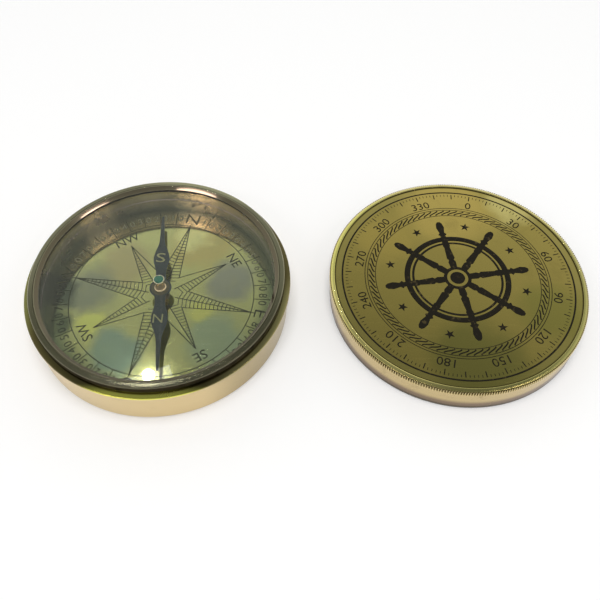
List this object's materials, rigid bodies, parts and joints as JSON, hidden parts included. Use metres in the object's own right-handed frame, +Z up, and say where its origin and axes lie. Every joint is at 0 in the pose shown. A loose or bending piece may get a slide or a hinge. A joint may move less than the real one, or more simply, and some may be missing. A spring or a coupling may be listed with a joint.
{
  "type": "pocket compass",
  "caption": "Round brass pocket compass with a pivoted magnetic needle over an etched dial under glass, and its screw lid lying beside it.",
  "frame": {"origin": "centre of the case's flat foot, on the table", "axes": "+Z up along the needle's axis, +X from the case towards the lid, +Y away from the viewer"},
  "size_m": [0.1636, 0.0811, 0.0154],
  "materials": {
    "case_brass": "satin turned brass",
    "dial_brass": "polished brass with black etched lines",
    "ring_brass": "polished coppery brass",
    "spacer_brass": "polished brass",
    "clear_glass": "clear flat glass",
    "pivot_brass": "turned brass",
    "pivot_steel": "ground steel",
    "blued_steel": "dark blued steel with brass-coloured letters",
    "hub_brass": "bright turned brass",
    "green_stone": "polished green stone",
    "lid_brass": "satin turned brass with a coin-edge band",
    "plate_brass": "brushed brass with black inlaid lines"
  },
  "bodies": {
    "case": {"case_base": "case_brass", "dial_plate": "dial_brass", "pivot_bush": "pivot_brass", "pivot_pin": "pivot_steel", "spacer_ring": "spacer_brass", "glass": "clear_glass", "retaining_ring": "ring_brass"},
    "needle": {"needle_blade": "blued_steel", "needle_hub": "hub_brass", "jewel": "green_stone"},
    "lid": {"lid_shell": "lid_brass", "lid_plate": "plate_brass"}
  },
  "joints": [
    {"name": "needle_spin", "type": "hinge", "parent": "case", "child": "needle", "pos_m": [0, 0, 0.0083], "axis": [0, 0, 1], "continuous": true},
    {"name": "lid_lift", "type": "slide", "parent": "case", "child": "lid", "axis": [0, 0, 1], "range_m": [0, 0.06]}
  ]
}
